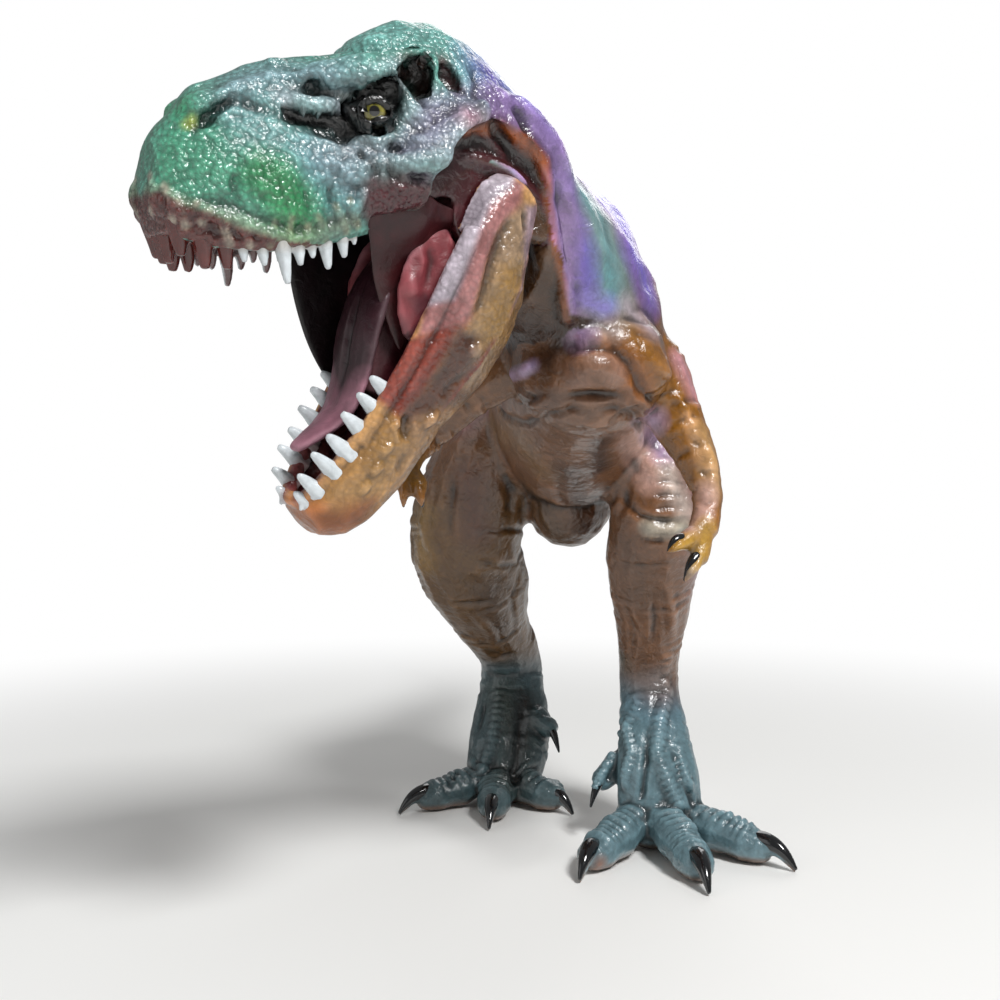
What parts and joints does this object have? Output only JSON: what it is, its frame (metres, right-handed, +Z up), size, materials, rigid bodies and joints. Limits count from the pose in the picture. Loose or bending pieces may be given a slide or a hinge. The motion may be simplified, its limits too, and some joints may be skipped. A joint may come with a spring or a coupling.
{
  "type": "toy dinosaur figure",
  "caption": "Standing, roaring Tyrannosaurus figure of painted soft vinyl, with a jaw that opens and closes on a pin.",
  "frame": {"origin": "on the floor, under the centre of the figure's bounding box", "axes": "+Z up, -Y the way the body faces, +Y towards the tail, +X to the animal's left"},
  "size_m": [0.1316, 0.2982, 0.1768],
  "materials": {
    "body_paint": "painted vinyl, wet gloss",
    "head_paint": "painted vinyl, wet gloss",
    "mouth_paint": "painted vinyl, wet gloss",
    "tooth_paint": "painted vinyl, gloss",
    "eye_gloss": "high gloss",
    "jaw_paint": "painted vinyl, wet gloss",
    "gum_paint": "painted vinyl, wet gloss",
    "tongue_paint": "painted vinyl, wet gloss",
    "pin_plastic": "plain moulded plastic",
    "arm_paint": "painted vinyl, wet gloss",
    "leg_paint": "painted vinyl, wet gloss",
    "foot_paint": "painted vinyl, wet gloss",
    "tail_paint": "painted vinyl, wet gloss"
  },
  "bodies": {
    "figure": {"torso": "body_paint", "head": "head_paint", "palate": "mouth_paint", "upper_teeth": "tooth_paint", "left_eye": "eye_gloss", "right_eye": "eye_gloss", "left_arm": "arm_paint", "right_arm": "arm_paint", "left_leg": "leg_paint", "right_leg": "leg_paint", "left_foot": "foot_paint", "right_foot": "foot_paint", "tail_base": "tail_paint", "tail_tip": "tail_paint"},
    "jaw": {"lower_jaw": "jaw_paint", "jaw_lining": "gum_paint", "tongue": "tongue_paint", "lower_teeth": "tooth_paint", "jaw_pin": "pin_plastic"}
  },
  "joints": [
    {"name": "jaw_hinge", "type": "hinge", "parent": "figure", "child": "jaw", "pos_m": [-0.0154, -0.10867, 0.14374], "axis": [0.6076, -0.7821, -0.1384], "range_deg": [-36, 3]}
  ]
}
